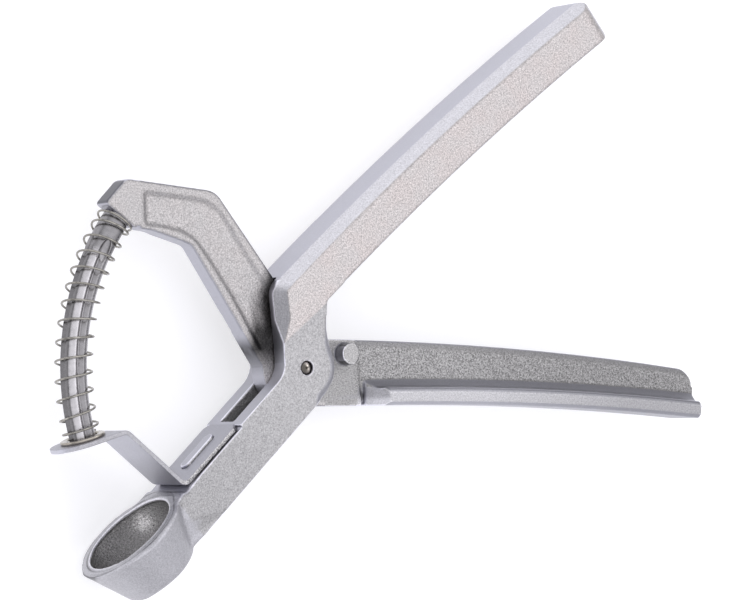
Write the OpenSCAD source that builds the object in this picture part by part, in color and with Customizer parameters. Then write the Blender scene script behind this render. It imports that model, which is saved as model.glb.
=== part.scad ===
// Hand pitter for olives and cherries, lying on its side.
// Two cast levers cross at a pin. The cup lever carries the cup, the stripper plate and the
// upper handle; the punch lever turns in its slot and carries the curved punch rod.
// Lengths are millimetres. Shapes are drawn in the pivot frame: the pin axis is Z,
// X runs towards the handles and Y towards the upper handle.

/* [Pin] */
// Diameter of the pivot pin
pin_d = 3.2; // [2.6:0.1:4]
// How deep each pin end sits below the side face
pin_recess = 0.4; // [0.1:0.1:1]
// Radial clearance of the pin in the two cheeks
pin_press_gap = 0.01; // [0.01:0.01:0.03]
// Radial running clearance of the punch lever on the pin
pin_run_gap = 0.05; // [0.02:0.01:0.1]

/* [Cup lever] */
// Width across the two side faces
lever_w = 15.3; // [14:0.1:18]
// Radius of the cheeks around the pin
cheek_r = 7.6; // [7:0.1:8.2]
// Direction of the arm from the pin to the cup, in degrees
arm_angle = 224.5; // [223:0.5:226]
// Height of the arm's open edge above the line through the pin
arm_rise = 3; // [2.4:0.1:3.6]
// Depth of the arm's closed edge below the line through the pin
arm_drop = 7.8; // [7.2:0.1:8.4]
// Distance from the pin to the end of the arm's open channel
channel_end = 20; // [17:0.5:21]
// Thickness of the channel's floor
channel_floor = 2.4; // [1.6:0.1:3]
// Clearance on each side of the punch lever in the slot
slot_gap = 0.3; // [0.2:0.05:0.5]
// Distance from the pin to where the cheeks run out into the handle, along its chord
root_len = 24.5; // [22:0.5:28]
// Radius of the cheeks' corner behind the punch arm
root_r = 4.5; // [2:0.5:5]
// Distance from the pin back to the cheeks' edge behind the punch arm
waist_x = 6.1; // [5.6:0.1:7]
// Radius where the cheeks run out into the arm's open edge
shoulder_r = 6; // [4:1:8]
// Radius of the corner between the cheeks and the handle's open edge
throat_r = 1.5; // [0.5:0.1:1.8]

/* [Upper handle] */
// Direction of the handle's chord, in degrees
grip_angle = 38.75; // [37:0.25:41]
// Distance from the pin to the handle's end, along the chord
grip_len = 117; // [100:0.5:125]
// Height of the handle's back above the line through the pin
grip_rise = 21.3; // [20.8:0.1:22]
// Depth of the handle, back to open edge
grip_depth = 11; // [9.5:0.1:12]
// Radius of the handle's arched back
grip_arch_r = 860; // [700:10:1200]
// Distance from the pin to the crown of the arch, along the chord
grip_crown = 70; // [62:0.5:78]
// Radius of the handle's arched open edge
grip_edge_r = 850; // [700:10:1200]
// Width of the flat back
back_w = 9.6; // [8:0.1:11]
// Depth of the bevels beside the back
back_bevel = 2.3; // [1:0.1:3]
// Thickness of the handle's walls
grip_wall = 2.4; // [1.8:0.1:3]
// Radius of the handle's end corners, seen from the side
grip_end_r = 4; // [2:0.5:5]
// Radius of the handle's end corners, seen from the back
grip_tip_r = 4.5; // [2:0.5:5]
// Distance from the pin to the wall that stops the punch arm, along the chord
stop_wall = 8.5; // [8.3:0.1:9.5]

/* [Cup] */
// Radius of the arc that the punch rod travels on
travel_r = 55; // [52:0.5:58]
// Direction of the rim's centre from the pin, in degrees
cup_angle = 221.8; // [220.5:0.1:223]
// Inside diameter of the rim
cup_d = 22; // [20:0.2:24]
// Width of the rim
rim_w = 2.4; // [1.8:0.1:3]
// Turn of the cup's axis past square to the pin, in degrees
cup_tilt = 2; // [0:0.2:4]
// Depth of the cup outside
cup_depth = 11.5; // [10.5:0.1:13]
// Height of the neck that joins the cup to the arm
neck_h = 8.6; // [6:0.1:9]
// Diameter of the flat underside
cup_foot_d = 18; // [16:0.2:19]
// Diameter of the hole that the stone leaves by
outlet_d = 8.4; // [7.8:0.1:9.4]
// Length of that hole
outlet_len = 2; // [1.5:0.1:3]

/* [Punch lever] */
// Thickness of the punch arm and hub
punch_t = 5.2; // [4.6:0.1:5.8]
// Radius of the hub around the pin
hub_r = 8.6; // [8.2:0.1:9]
// Direction of the head's seat face from the pin at rest, in degrees
head_angle = 144; // [142:0.5:145]
// Length of the head along its seat face
head_len = 9; // [8.4:0.2:10]
// Height of the head above its seat face
head_h = 7.5; // [6.5:0.1:8.5]
// How far the head's middle lies outside the rod's arc
head_shift = 0.6; // [0:0.1:1]
// Distance from the pin to the arm's inner elbow
elbow_r = 38; // [36:0.5:40]
// Direction of the inner elbow from the pin, in degrees
elbow_angle = 135; // [133:0.5:136]
// Height of the outer elbow above the line through the pin, square to the upper handle
elbow_rise = 43.4; // [42:0.2:44.5]
// Depth of the recessed panels in the arm
panel_depth = 0.7; // [0.3:0.1:1]
// Width of the border round each panel
panel_border = 1.9; // [1.4:0.1:2.4]
// Distance from the outer elbow to each panel's upper end
panel_top_len = 20.5; // [16:0.5:22]
// Distance from the inner elbow to each panel's lower end
panel_low_len = 14.5; // [11:0.5:15]
// Thickness of the lower handle's web
web_t = 4; // [3:0.1:4.8]
// Distance from the pin to the end of the thick hub
hub_len = 16; // [15.8:0.1:17]
// Diameter of the bosses that limit the squeeze
boss_d = 4.9; // [4.2:0.1:5]
// Height of each boss above the hub's face
boss_h = 3.4; // [2.5:0.1:4.5]
// Distance from the pin to the bosses
boss_r = 13.3; // [13.2:0.1:14]
// Direction of the bosses from the pin at rest, in degrees
boss_angle = 14.7; // [12:0.1:15]

/* [Lower handle] */
// Direction of the handle's chord, in degrees
tang_angle = -1.1; // [-3:0.1:0]
// Distance from the pin to the handle's end, along the chord
tang_len = 113.3; // [100:0.5:120]
// Radius of the handle's arched edges
tang_arch_r = 870; // [700:10:1200]
// Height of the web's edge above the line through the pin
web_rise = 7.1; // [6.4:0.1:7.4]
// Distance from the pin to the crown of the web's edge
web_crown = 30; // [25:1:40]
// Distance from the line through the pin down to the flange's pressed face
flange_drop = 6.9; // [6.5:0.1:7.3]
// Distance from the pin to the crown of the flange
flange_crown = 61; // [55:1:65]
// Radius of the web's end corner
web_end_r = 4.5; // [2:0.5:6]
// Width of the flange that the hand presses
flange_w = 12; // [10:0.2:15]
// Thickness of the flange
flange_t = 3.5; // [2.5:0.1:4]
// Distance from the pin to the flange's inner end
flange_start = 18.5; // [17.5:0.5:24]
// Size of the fillet between flange and web
flange_fillet = 2; // [1:0.1:2.4]

/* [Punch rod] */
// Diameter of the rod's round collar
rod_d = 6; // [5.4:0.1:6.2]
// How much lower than the collar the rod's ribs lie
rib_step = 0.1; // [0.05:0.05:0.3]
// Depth of the four flutes
flute_depth = 1.3; // [0.8:0.1:1.6]
// Length of the plain round collar under the arm
collar_len = 9; // [4:0.5:12]
// Diameter of the spigot pressed into the arm
spigot_d = 3.4; // [2.6:0.1:3.8]
// Length of that spigot
spigot_len = 5; // [3:0.5:5.5]
// Radial clearance of the spigot in the arm
spigot_gap = 0.02; // [0.01:0.01:0.05]

/* [Spring] */
// Outside diameter of the spring
spring_d = 8.5; // [8:0.1:8.8]
// Diameter of the spring wire
wire_d = 0.5; // [0.4:0.05:0.55]
// Open turns between the two end turns
open_turns = 13; // [11:1:15]
// Pitch of the turn at each end
end_pitch = 1.1; // [1.05:0.05:1.4]

/* [Stripper plate] */
// Thickness of the sheet
sheet_t = 1; // [0.8:0.1:1.2]
// Width of the strip
plate_w = 13; // [11:0.2:14]
// Radius of the bends at the middle of the sheet
bend_r = 1.6; // [1.1:0.1:2.2]
// Direction of the pad's upper face from the pin, in degrees
pad_angle = 197; // [196:0.5:200]
// Distance from the pin to the pad's inner bend
pad_start = 47.5; // [46:0.5:48.5]
// Distance from the rod to the end of the pad
pad_reach = 7.6; // [7.4:0.1:9]
// Radial clearance of the rod in the pad's hole
pad_hole_gap = 0.3; // [0.2:0.05:0.5]
// Distance from the pin to the tab's free end, along the arm
tab_start = 21.3; // [20.6:0.1:24]
// Distance from the pin to the bend at the foot of the strut, along the arm
tab_end = 40; // [38.5:0.5:41]
// How deep the tab's seat is cut into the arm's edge
seat_depth = 0.6; // [0.3:0.1:1]
// Size of the corners cut off the tab's free end
tab_corner = 1.5; // [0.5:0.1:3]
// Length of the oval stake that holds the tab
stake_len = 10.4; // [7:0.2:11]
// Width of the stake
stake_w = 3; // [2.4:0.1:4]
// Clearance of the stake in the tab's hole
stake_gap = 0.05; // [0.02:0.01:0.1]
// Height of the stake's head above the tab
stake_h = 0.6; // [0.3:0.1:1]

/* [Spring seat] */
// Outside diameter of the ring under the spring
ring_d = 10; // [9:0.1:11]
// Thickness of the ring
ring_t = 0.7; // [0.5:0.1:1]

/* [Hidden] */

// Colours of cast aluminium, its shaded flanks, bright steel and spring wire
cast_colour = [0.72, 0.72, 0.75];
rod_colour = [0.55, 0.55, 0.57];
steel_colour = [0.80, 0.79, 0.76];

// Travel of the punch lever from rest to its stop, in degrees
travel = 38;

// How far a cutting shape reaches past what it cuts
past = 1;
// Segments of a full round edge, and of the handles' large arches
round_fn = 64;
arch_fn = 720;
// Clearance between faces that meet when a lever reaches its stop
rest_gap = 0.3;
// Clearance between pieces that lie on each other
lay_gap = 0.02;
// Clearance of the spring from the faces that it pushes on
spring_gap = 0.2;

slot_w = punch_t + 2 * slot_gap;
half_w = lever_w / 2;

// A point at distance r and angle a from the pin
function polar(r, a) = [r * cos(a), r * sin(a)];
function unit(v) = v / norm(v);

// Points of an arc from angle a to angle b about c
function arc(c, r, a, b, steps = 8) =
    [for (i = [0 : steps]) c + polar(r, a + (b - a) * i / steps)];

// The corner q between p and s, rounded with radius r
function corner(p, q, s, r, steps = 6) =
    let (u = unit(p - q), v = unit(s - q))
    let (half = acos(max(-1, min(1, u * v))) / 2)
    let (centre = q + unit(u + v) * r / sin(half))
    let (first = q + u * r / tan(half) - centre, last = q + v * r / tan(half) - centre)
    let (a = atan2(first[1], first[0]), turn = atan2(last[1], last[0]) - a)
    let (swing = turn > 180 ? turn - 360 : turn < -180 ? turn + 360 : turn)
    arc(centre, r, a, a + swing, steps);

// A closed outline of [x, y, radius] corners, each rounded with its own radius
function rounded(outline) =
    let (count = len(outline))
    [for (i = [0 : count - 1])
        let (p = outline[(i + count - 1) % count], q = outline[i], s = outline[(i + 1) % count])
        each (q[2] > 0
            ? corner([p[0], p[1]], [q[0], q[1]], [s[0], s[1]], q[2])
            : [[q[0], q[1]]])];

// A slab of the outline, centred on the levers' middle plane
module slab(outline, thickness) {
    linear_extrude(height = thickness, center = true)
        polygon(rounded(outline));
}

// Places its children in the frame of the arm: X along the arm, Y towards the plate
module along_arm() {
    rotate([0, 0, arm_angle])
        mirror([0, 1, 0])
            children();
}

// Places its children in the frame of the upper handle: X along the chord, Y towards the back
module along_grip() {
    rotate([0, 0, grip_angle])
        children();
}

// Points given along and square to each direction, in the pivot frame
arm_dir = polar(1, arm_angle);
arm_up = polar(1, arm_angle - 90);
function on_arm(along, up) = arm_dir * along + arm_up * up;
function on_grip(x, y) = polar(x, grip_angle) + polar(y, grip_angle + 90);

// ---- Upper handle ----
grip_centre_y = grip_rise - grip_arch_r;
// Height of the handle's back at a distance x along the chord
function back_y(x) = grip_centre_y + sqrt(grip_arch_r * grip_arch_r - pow(x - grip_crown, 2));
// Height of the handle's open edge there
function open_y(x) =
    grip_rise - grip_depth - grip_edge_r + sqrt(grip_edge_r * grip_edge_r - pow(x - grip_crown, 2));
// How much deeper than its crown the swept section is drawn
open_spare = 2;
// Angle about the arch's centre of a distance x along the chord
function grip_turn(x) = acos((x - grip_crown) / grip_arch_r);

// Sweeps a section along the handle's arch, between two distances from the pin
module along_grip_arch(from, to) {
    translate([grip_crown, grip_centre_y, 0])
        rotate([0, 0, grip_turn(to)])
            rotate_extrude(angle = grip_turn(from) - grip_turn(to), $fn = arch_fn)
                children();
}

module grip_section() {
    polygon([
        [grip_arch_r, -back_w / 2],
        [grip_arch_r, back_w / 2],
        [grip_arch_r - back_bevel, half_w],
        [grip_arch_r - grip_depth - open_spare, half_w],
        [grip_arch_r - grip_depth - open_spare, -half_w],
        [grip_arch_r - back_bevel, -half_w]
    ]);
}

module grip_hollow_section() {
    inner_w = lever_w - 2 * grip_wall;
    translate([grip_arch_r - grip_depth - 2 * open_spare, -inner_w / 2])
        square([grip_depth - grip_wall + 2 * open_spare, inner_w]);
}

// What lies outside a round corner with centre c, towards the signs given
module corner_cut(c, r, sign_x, sign_y, reach = lever_w) {
    translate([c[0], c[1], 0])
        difference() {
            translate([sign_x > 0 ? 0 : -r - past, sign_y > 0 ? 0 : -r - past, -reach])
                cube([r + past, r + past, 2 * reach]);
            cylinder(r = r, h = 3 * reach, center = true, $fn = round_fn);
        }
}

// Everything below the arched open edge
module below_open_edge(height) {
    translate([grip_crown, open_y(grip_crown) - grip_edge_r, 0])
        cylinder(r = grip_edge_r, h = height, center = true, $fn = arch_fn);
}

// Centre of the end's round corner at the back; it stands a hair past the faces that it
// rounds into, so that they meet in a clean edge
grip_corner_x = grip_len - grip_end_r;
grip_corner = [grip_corner_x, back_y(grip_corner_x) - grip_end_r + lay_gap];

module grip() {
    low_r = grip_end_r / 2;
    low_corner = [grip_len - low_r, open_y(grip_len - low_r) + low_r - lay_gap];
    tip_z = half_w - grip_tip_r + lay_gap;
    along_grip()
        difference() {
            along_grip_arch(stop_wall, grip_len)
                grip_section();
            along_grip_arch(stop_wall + grip_wall, grip_len - grip_wall)
                grip_hollow_section();
            below_open_edge(2 * lever_w);
            corner_cut(grip_corner, grip_end_r, 1, 1);
            corner_cut(low_corner, low_r, 1, -1);
            for (side = [-1, 1])
                rotate([90, 0, 0])
                    corner_cut([grip_len - grip_tip_r, side * tip_z], grip_tip_r, 1, side,
                        2 * grip_rise);
        }
}

// ---- Cheeks and arm ----
// Centre of the cup's rim, and its outside radius
rim_centre = polar(travel_r, cup_angle);
rim_r = cup_d / 2 + rim_w;
// How far the arm runs in under the rim
arm_lap = 2;
arm_end = travel_r - rim_r + arm_lap;
// How much further its closed edge runs on towards the cup's foot
foot_lap = 5;
// Right edge of the cheeks, which stops the bosses of the punch lever
stop_x = boss_r * cos(boss_angle + travel) - boss_d / 2 - rest_gap;
throat_x = (stop_x + open_y(stop_x + cheek_r) * sin(grip_angle)) / cos(grip_angle);
// Direction from the arm at which the cheeks' round edge leaves its closed edge
cheek_turn = 262;
// Direction in which that round edge ends, and the height where the straight edge starts
flare_turn = 22;
flare_y = 9;
// Distances that place the cheeks' corner and waist behind the punch arm
root_inset = 5;
root_lead = 3.2;
root_drop = 0.2;
// Length over which the bevel on the cheeks runs out to nothing
root_runout = 5.6;
waist_y = 5;
waist_r = 10;
shoulder_x = 5;

module cheeks() {
    root_top = on_grip(stop_wall + root_inset, back_y(stop_wall + root_inset) - root_drop);
    root_corner = on_grip(stop_wall - root_lead, back_y(stop_wall) - root_drop);
    waist = [-waist_x, waist_y];
    difference() {
        slab([
            [each root_top, 0],
            [each root_corner, root_r],
            [each waist, waist_r],
            [each on_arm(shoulder_x, arm_rise), shoulder_r],
            [each on_arm(arm_end, arm_rise), 0],
            [each on_arm(arm_end + foot_lap, -arm_drop), 0],
            [each on_arm(0, -arm_drop), 0],
            for (p = arc([0, 0], cheek_r, arm_angle - cheek_turn, flare_turn))
                [each p, 0],
            [stop_x, flare_y, 0],
            [each on_grip(throat_x, open_y(throat_x)), throat_r],
            [each on_grip(root_len, open_y(root_len)), 0]
        ], lever_w);
        for (side = [0, 1])
            mirror([0, 0, side]) {
                bevel_cut(waist, root_corner, past, root_runout);
                bevel_cut(root_corner, root_top, back_bevel + past);
            }
    }
}

// Carries the bevel beside the handle's back along an edge from a to b, with the metal on
// the right of that way; it grows to its full depth over the first runout
module bevel_cut(a, b, spare, runout = 0) {
    slope = (half_w - back_w / 2) / back_bevel;
    stations = [
        [0, runout > 0 ? 0 : back_bevel],
        [runout, back_bevel],
        [norm(b - a) + spare - lay_gap, back_bevel]
    ];
    translate([each a, 0])
        rotate([0, 0, atan2(b[1] - a[1], b[0] - a[0])])
            rotate([90, 0, 90])
                hull()
                    for (s = stations)
                        translate([0, 0, s[0]])
                            linear_extrude(height = lay_gap)
                                polygon([
                                    [past, half_w - (s[1] + past) * slope],
                                    [-s[1] - past, half_w + past * slope],
                                    [past, half_w + past * slope]
                                ]);
}

// The slot between the cheeks, and the open channel that runs on from it down the arm
module slot() {
    hub_room = hub_r + 2 * rest_gap;
    linear_extrude(height = slot_w, center = true) {
        circle(r = hub_room, $fn = round_fn);
        rotate(grip_angle) {
            translate([-2 * hub_room, -hub_r / 2])
                square([2 * hub_room + stop_wall, 2 * grip_rise]);
            translate([0, -hub_room])
                square([root_len + past, hub_room + back_y(stop_wall) - grip_wall]);
        }
        rotate(arm_angle)
            mirror([0, 1])
                translate([0, channel_floor - arm_drop])
                    square([channel_end, arm_drop + 2 * hub_room]);
        translate([0, -hub_room])
            square([2 * hub_room, 2 * hub_room]);
    }
}

// ---- Cup ----
// Places its children with Z along the cup's axis, from the rim down
module on_cup() {
    translate([each rim_centre, 0])
        rotate([0, 0, cup_angle + cup_tilt])
            rotate([-90, 0, 0])
                children();
}

module cup_shell() {
    on_cup()
        cylinder(r1 = rim_r, r2 = cup_foot_d / 2, h = cup_depth, $fn = round_fn);
}

// The bowl is a zone of a sphere between the rim and the outlet
bowl_depth = cup_depth - outlet_len;
bowl_drop = (pow(outlet_d / 2, 2) + pow(bowl_depth, 2) - pow(cup_d / 2, 2)) / (2 * bowl_depth);
bowl_r = norm([cup_d / 2, bowl_drop]);

module cup_hollow() {
    on_cup() {
        intersection() {
            translate([0, 0, bowl_drop])
                sphere(r = bowl_r, $fn = round_fn);
            cylinder(r = rim_r, h = bowl_depth, $fn = round_fn);
        }
        translate([0, 0, -cup_depth])
            cylinder(d = cup_d, h = cup_depth + lay_gap, $fn = round_fn);
        cylinder(d = outlet_d, h = cup_depth + past, $fn = round_fn);
    }
}

// Neck between the arm and the cup's wall
neck_inset = 4;
neck_taper = 2;
neck_lap = 8;

module neck() {
    neck_r = rim_r - neck_inset;
    hull() {
        along_arm()
            translate([arm_end - neck_lap, -arm_drop, -half_w])
                cube([past, arm_drop + arm_rise, lever_w]);
        on_cup()
            translate([past - neck_inset, 0, 0])
                cylinder(r1 = neck_r, r2 = neck_r - neck_taper, h = neck_h, $fn = 32);
    }
}

// ---- Stripper plate ----
seat_up = arm_rise - seat_depth;
sheet_up = seat_up + lay_gap + sheet_t / 2;
// How far the seat runs on past the foot of the strut
bend_room = 2;
pad_dir = polar(1, pad_angle);
pad_down = polar(1, pad_angle + 90);
stake_at = (tab_start + tab_end - sheet_t) / 2;

// Middle line of the sheet: tab, foot of the strut, inner and outer end of the pad
plate_line = [
    on_arm(tab_start, sheet_up),
    on_arm(tab_end, sheet_up),
    pad_dir * pad_start + pad_down * sheet_t / 2,
    pad_dir * (travel_r + pad_reach) + pad_down * sheet_t / 2
];

// The line moved sideways by d, corner by corner
function beside(line, d) =
    let (last = len(line) - 1)
    let (sides = [for (i = [0 : last - 1])
        let (u = unit(line[i + 1] - line[i])) [-u[1], u[0]]])
    [for (i = [0 : last])
        let (before = sides[max(i - 1, 0)], after = sides[min(i, last - 1)])
        let (middle = unit(before + after))
        line[i] + middle * d / (middle * after)];

// The same, with each inner corner bent about the sheet's bend radius
function bent(line, d) =
    let (last = len(line) - 1, p = beside(line, d))
    [for (i = [0 : last])
        let (u = p[i] - p[max(i - 1, 0)], v = p[min(i + 1, last)] - p[i])
        let (left = u[0] * v[1] - u[1] * v[0] > 0)
        each (i == 0 || i == last
            ? [p[i]]
            : corner(p[i - 1], p[i], p[i + 1], bend_r + (left ? -d : d)))];

function reversed(list) = [for (i = [len(list) - 1 : -1 : 0]) list[i]];

// An oval prism that stands on the arm, with its length along the arm
module oval(length, width, height) {
    straight = length - width;
    along_arm()
        translate([stake_at, 0, 0])
            rotate([-90, 0, 0]) {
                translate([-straight / 2, -width / 2, 0])
                    cube([straight, width, height]);
                for (side = [-1, 1])
                    translate([side * straight / 2, 0, 0])
                        cylinder(d = width, h = height, $fn = round_fn);
            }
}

module cup_lever() {
    color(cast_colour)
        difference() {
            union() {
                difference() {
                    union() {
                        cheeks();
                        grip();
                        neck();
                        cup_shell();
                    }
                    slot();
                    cup_hollow();
                    along_arm()
                        translate([tab_start - lay_gap, seat_up, -lever_w])
                            cube([tab_end - tab_start + bend_room, seat_depth + past,
                                2 * lever_w]);
                }
                oval(stake_len, stake_w, seat_up + sheet_t + stake_h);
            }
            cylinder(r = pin_d / 2 + pin_press_gap, h = lever_w + 2 * past, center = true,
                $fn = round_fn);
        }
}

// Places its children on the rod's arc at the direction given, with Z along the arc
// towards the cup and X away from the pin
module on_travel(direction) {
    rotate([0, 0, direction])
        translate([travel_r, 0, 0])
            rotate([-90, 0, 0])
                children();
}

module stripper_plate() {
    end_r = plate_w / 2;
    end_room = 2 * plate_w;
    color(cast_colour)
        difference() {
            linear_extrude(height = plate_w, center = true)
                polygon(concat(bent(plate_line, sheet_t / 2),
                    reversed(bent(plate_line, -sheet_t / 2))));
            on_travel(pad_angle) {
                translate([0, 0, -past])
                    cylinder(r = rod_d / 2 + pad_hole_gap, h = sheet_t + 2 * past, $fn = round_fn);
                translate([pad_reach - end_r, 0, -past])
                    difference() {
                        translate([0, -end_room / 2, 0])
                            cube([end_room, end_room, sheet_t + 2 * past]);
                        translate([0, 0, -past])
                            cylinder(r = end_r, h = sheet_t + 4 * past, $fn = round_fn);
                    }
            }
            oval(stake_len + 2 * stake_gap, stake_w + 2 * stake_gap, seat_up + sheet_t + past);
            for (side = [-1, 1])
                along_arm()
                    translate([tab_start, 0, side * plate_w / 2])
                        rotate([0, 45, 0])
                            cube([tab_corner * sqrt(2), 2 * end_room, tab_corner * sqrt(2)],
                                center = true);
        }
}

// ---- Punch lever ----
arm_back = stop_wall - rest_gap;
seat_in = polar(travel_r + head_shift - head_len / 2, head_angle);
seat_out = polar(travel_r + head_shift + head_len / 2, head_angle);
// How far the head leans in towards its top, and the step and its direction under the head
head_lean = 0.9;
neck_step = 1.2;
neck_step_turn = 118;
// Turn from the inner elbow to where the arm's inner edge meets the hub
hub_left_turn = 43;
head_top = seat_out + polar(head_h, head_angle - 90) - polar(head_lean, head_angle);
outer_elbow = on_grip(arm_back, elbow_rise);
inner_elbow = polar(elbow_r, elbow_angle);
under_head = seat_in + polar(neck_step, head_angle - neck_step_turn);
hub_left = polar(hub_r, elbow_angle + hub_left_turn);

// Lower handle, in the frame of its chord
function tang_point(x, y) = polar(x, tang_angle) + polar(y, tang_angle + 90);
function tang_turn(x) = acos((x - flange_crown) / tang_arch_r);
// Height of the pressed face at a distance x along the chord
function press_y(x) = -flange_drop - tang_arch_r + tang_arch_r * sin(tang_turn(x));

// Height of the web's arched edge at a distance x along the chord
function web_y(x) =
    web_rise - tang_arch_r + sqrt(tang_arch_r * tang_arch_r - pow(x - web_crown, 2));
// Centre of the round corner at the web's end
web_corner_x = tang_len - web_end_r;
web_corner = [web_corner_x, web_y(web_corner_x) - web_end_r + lay_gap];

module along_tang() {
    rotate([0, 0, tang_angle])
        children();
}

// Sweeps a section along the pressed face's arch, between two distances from the pin
module along_press_arch(from, to) {
    translate([flange_crown, -flange_drop - tang_arch_r, 0])
        rotate([0, 0, tang_turn(to)])
            rotate_extrude(angle = tang_turn(from) - tang_turn(to), $fn = arch_fn)
                children();
}

module web_section() {
    translate([tang_arch_r + past, -web_t / 2])
        square([web_rise + flange_drop + past, web_t]);
}

module flange_section() {
    fillet = flange_t + flange_fillet;
    edge = flange_t / 4;
    translate([tang_arch_r, 0])
        polygon([
            [0, edge - flange_w / 2],
            [0, flange_w / 2 - edge],
            [edge, flange_w / 2],
            [flange_t - edge, flange_w / 2],
            [flange_t, flange_w / 2 - edge],
            [flange_t, web_t / 2 + flange_fillet],
            [fillet, web_t / 2],
            [fillet, -web_t / 2],
            [flange_t, -web_t / 2 - flange_fillet],
            [flange_t, edge - flange_w / 2],
            [flange_t - edge, -flange_w / 2],
            [edge, -flange_w / 2]
        ]);
}

// Everything below the arched edge of the web
module under_web_edge(height) {
    along_tang()
        translate([web_crown, web_rise - tang_arch_r, 0])
            cylinder(r = tang_arch_r, h = height, center = true, $fn = arch_fn);
}

module tang() {
    along_tang() {
        along_press_arch(hub_len - 1, tang_len)
            web_section();
        along_press_arch(flange_start, tang_len)
            flange_section();
    }
}

// How far the hub's lower end runs out under the web
hub_lap = 2;

module hub_and_arm() {
    cylinder(r = hub_r, h = punch_t, center = true, $fn = round_fn);
    slab([
        [each seat_out, 0.6],
        [each head_top, 2.2],
        [each outer_elbow, 5],
        [each on_grip(arm_back, web_rise / 2), 0],
        [each hub_left / 4, 0],
        [each hub_left, 0],
        [each inner_elbow, 2.5],
        [each under_head, 0.8],
        [each seat_in, 0]
    ], punch_t);
    slab([
        [0, -hub_r, 0],
        [each tang_point(hub_len + hub_lap, press_y(hub_len + hub_lap)), 0],
        [each tang_point(hub_len, web_rise + past), 0],
        [0, web_rise + past, 0]
    ], punch_t);
}

// Recessed panel, inside a border along the arm's edges
module panel() {
    panel_corner = 3;
    along_top = unit(head_top - outer_elbow);
    along_low = unit(under_head - inner_elbow);
    foot_low = inner_elbow + unit(hub_left - inner_elbow) * (elbow_r - hub_r);
    foot_back = on_grip(arm_back, hub_r + panel_corner);
    edge = [
        outer_elbow + along_top * panel_top_len,
        outer_elbow,
        foot_back,
        foot_low,
        inner_elbow,
        inner_elbow + along_low * panel_low_len
    ];
    inner = inset(edge, panel_border);
    for (side = [-1, 1])
        translate([0, 0, side * punch_t / 2])
            slab([for (i = [0 : len(inner) - 1])
                [each inner[i], i == 1 ? panel_corner : panel_depth]], 2 * panel_depth);
}

// A closed outline that runs clockwise, moved inwards by d
function inset(points, d) =
    let (count = len(points))
    [for (i = [0 : count - 1])
        let (u = unit(points[i] - points[(i + count - 1) % count]))
        let (v = unit(points[(i + 1) % count] - points[i]))
        let (before = [u[1], -u[0]], after = [v[1], -v[0]])
        let (middle = unit(before + after))
        points[i] + middle * d / (middle * after)];

module punch_lever() {
    color(cast_colour)
        difference() {
            intersection() {
                union() {
                    hub_and_arm();
                    tang();
                }
                union() {
                    under_web_edge(2 * lever_w);
                    translate([-2 * travel_r, 0, -lever_w])
                        cube([2 * travel_r + web_rise, 2 * travel_r, 2 * lever_w]);
                }
            }
            panel();
            along_tang()
                corner_cut(web_corner, web_end_r, 1, 1);
            on_travel(head_angle)
                translate([0, 0, -spigot_len])
                    cylinder(r = spigot_d / 2 + spigot_gap, h = spigot_len + past, $fn = round_fn);
            cylinder(r = pin_d / 2 + pin_run_gap, h = 2 * punch_t, center = true, $fn = round_fn);
        }
    color(cast_colour)
        for (side = [-1, 1])
            translate([each polar(boss_r, boss_angle), side * (punch_t / 2 + boss_h / 2)])
                cylinder(d = boss_d, h = boss_h, center = true, $fn = round_fn);
}

// ---- Punch rod ----
// Degrees of the travel arc in a length along it
function travel_turn(length) = length / travel_r * 180 / PI;
rod_end = pad_angle + travel_turn(sheet_t) - head_angle;

module fluted_section() {
    // Half of the angle that a flute takes up on the rod's outside
    groove = 20;
    rib_r = rod_d / 2 - rib_step;
    translate([travel_r, 0])
        polygon([for (k = [0 : 3])
            each concat(
                [polar(rod_d / 2 - flute_depth, 90 * k)],
                arc([0, 0], rib_r, 90 * k + groove, 90 * (k + 1) - groove, 4))]);
}

module punch_rod() {
    collar = travel_turn(collar_len);
    color(rod_colour) {
        rotate([0, 0, head_angle]) {
            rotate_extrude(angle = collar, $fn = arch_fn)
                translate([travel_r, 0])
                    circle(d = rod_d, $fn = round_fn);
            rotate_extrude(angle = rod_end, $fn = arch_fn)
                fluted_section();
        }
        on_travel(head_angle)
            translate([0, 0, spigot_gap - spigot_len])
                cylinder(d = spigot_d, h = spigot_len, $fn = round_fn);
    }
}

// ---- Spring seat ----
module spring_seat() {
    color(steel_colour)
        on_travel(pad_angle)
            translate([0, 0, -ring_t - lay_gap])
                difference() {
                    cylinder(d = ring_d, h = ring_t, $fn = round_fn);
                    translate([0, 0, -past])
                        cylinder(r = rod_d / 2 + pad_hole_gap, h = ring_t + 2 * past,
                            $fn = round_fn);
                }
}

// ---- Return spring ----
coil_r = (spring_d - wire_d) / 2;
spring_from = spring_gap + wire_d / 2;
spring_to = travel_r * (pad_angle - head_angle) * PI / 180 - ring_t - lay_gap
    - spring_gap - wire_d / 2;
turns = open_turns + 2;
open_pitch = (spring_to - spring_from - 2 * end_pitch) / open_turns;
rings_per_turn = 8;
wire_sides = 6;

// Height of the coil above its seat at a number of turns
function coil_height(t) =
    spring_from + end_pitch * min(t, 1) + open_pitch * max(0, min(t - 1, open_turns))
    + end_pitch * max(0, t - 1 - open_turns);
// Middle of the wire after t turns, bent along the travel arc
function coil_point(t) =
    let (direction = head_angle + travel_turn(coil_height(t)))
    let (out = travel_r + coil_r * cos(360 * t))
    [each polar(out, direction), -coil_r * sin(360 * t)];

// The wire's ends run straight on for one wire diameter
coil_core = [for (i = [0 : turns * rings_per_turn]) coil_point(i / rings_per_turn)];
last_ring = len(coil_core) - 1;
coil_line = concat(
    [coil_core[0] + unit(coil_core[0] - coil_point(0.02)) * wire_d],
    coil_core,
    [coil_core[last_ring] + unit(coil_core[last_ring] - coil_point(turns - 0.02)) * wire_d]);

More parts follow.
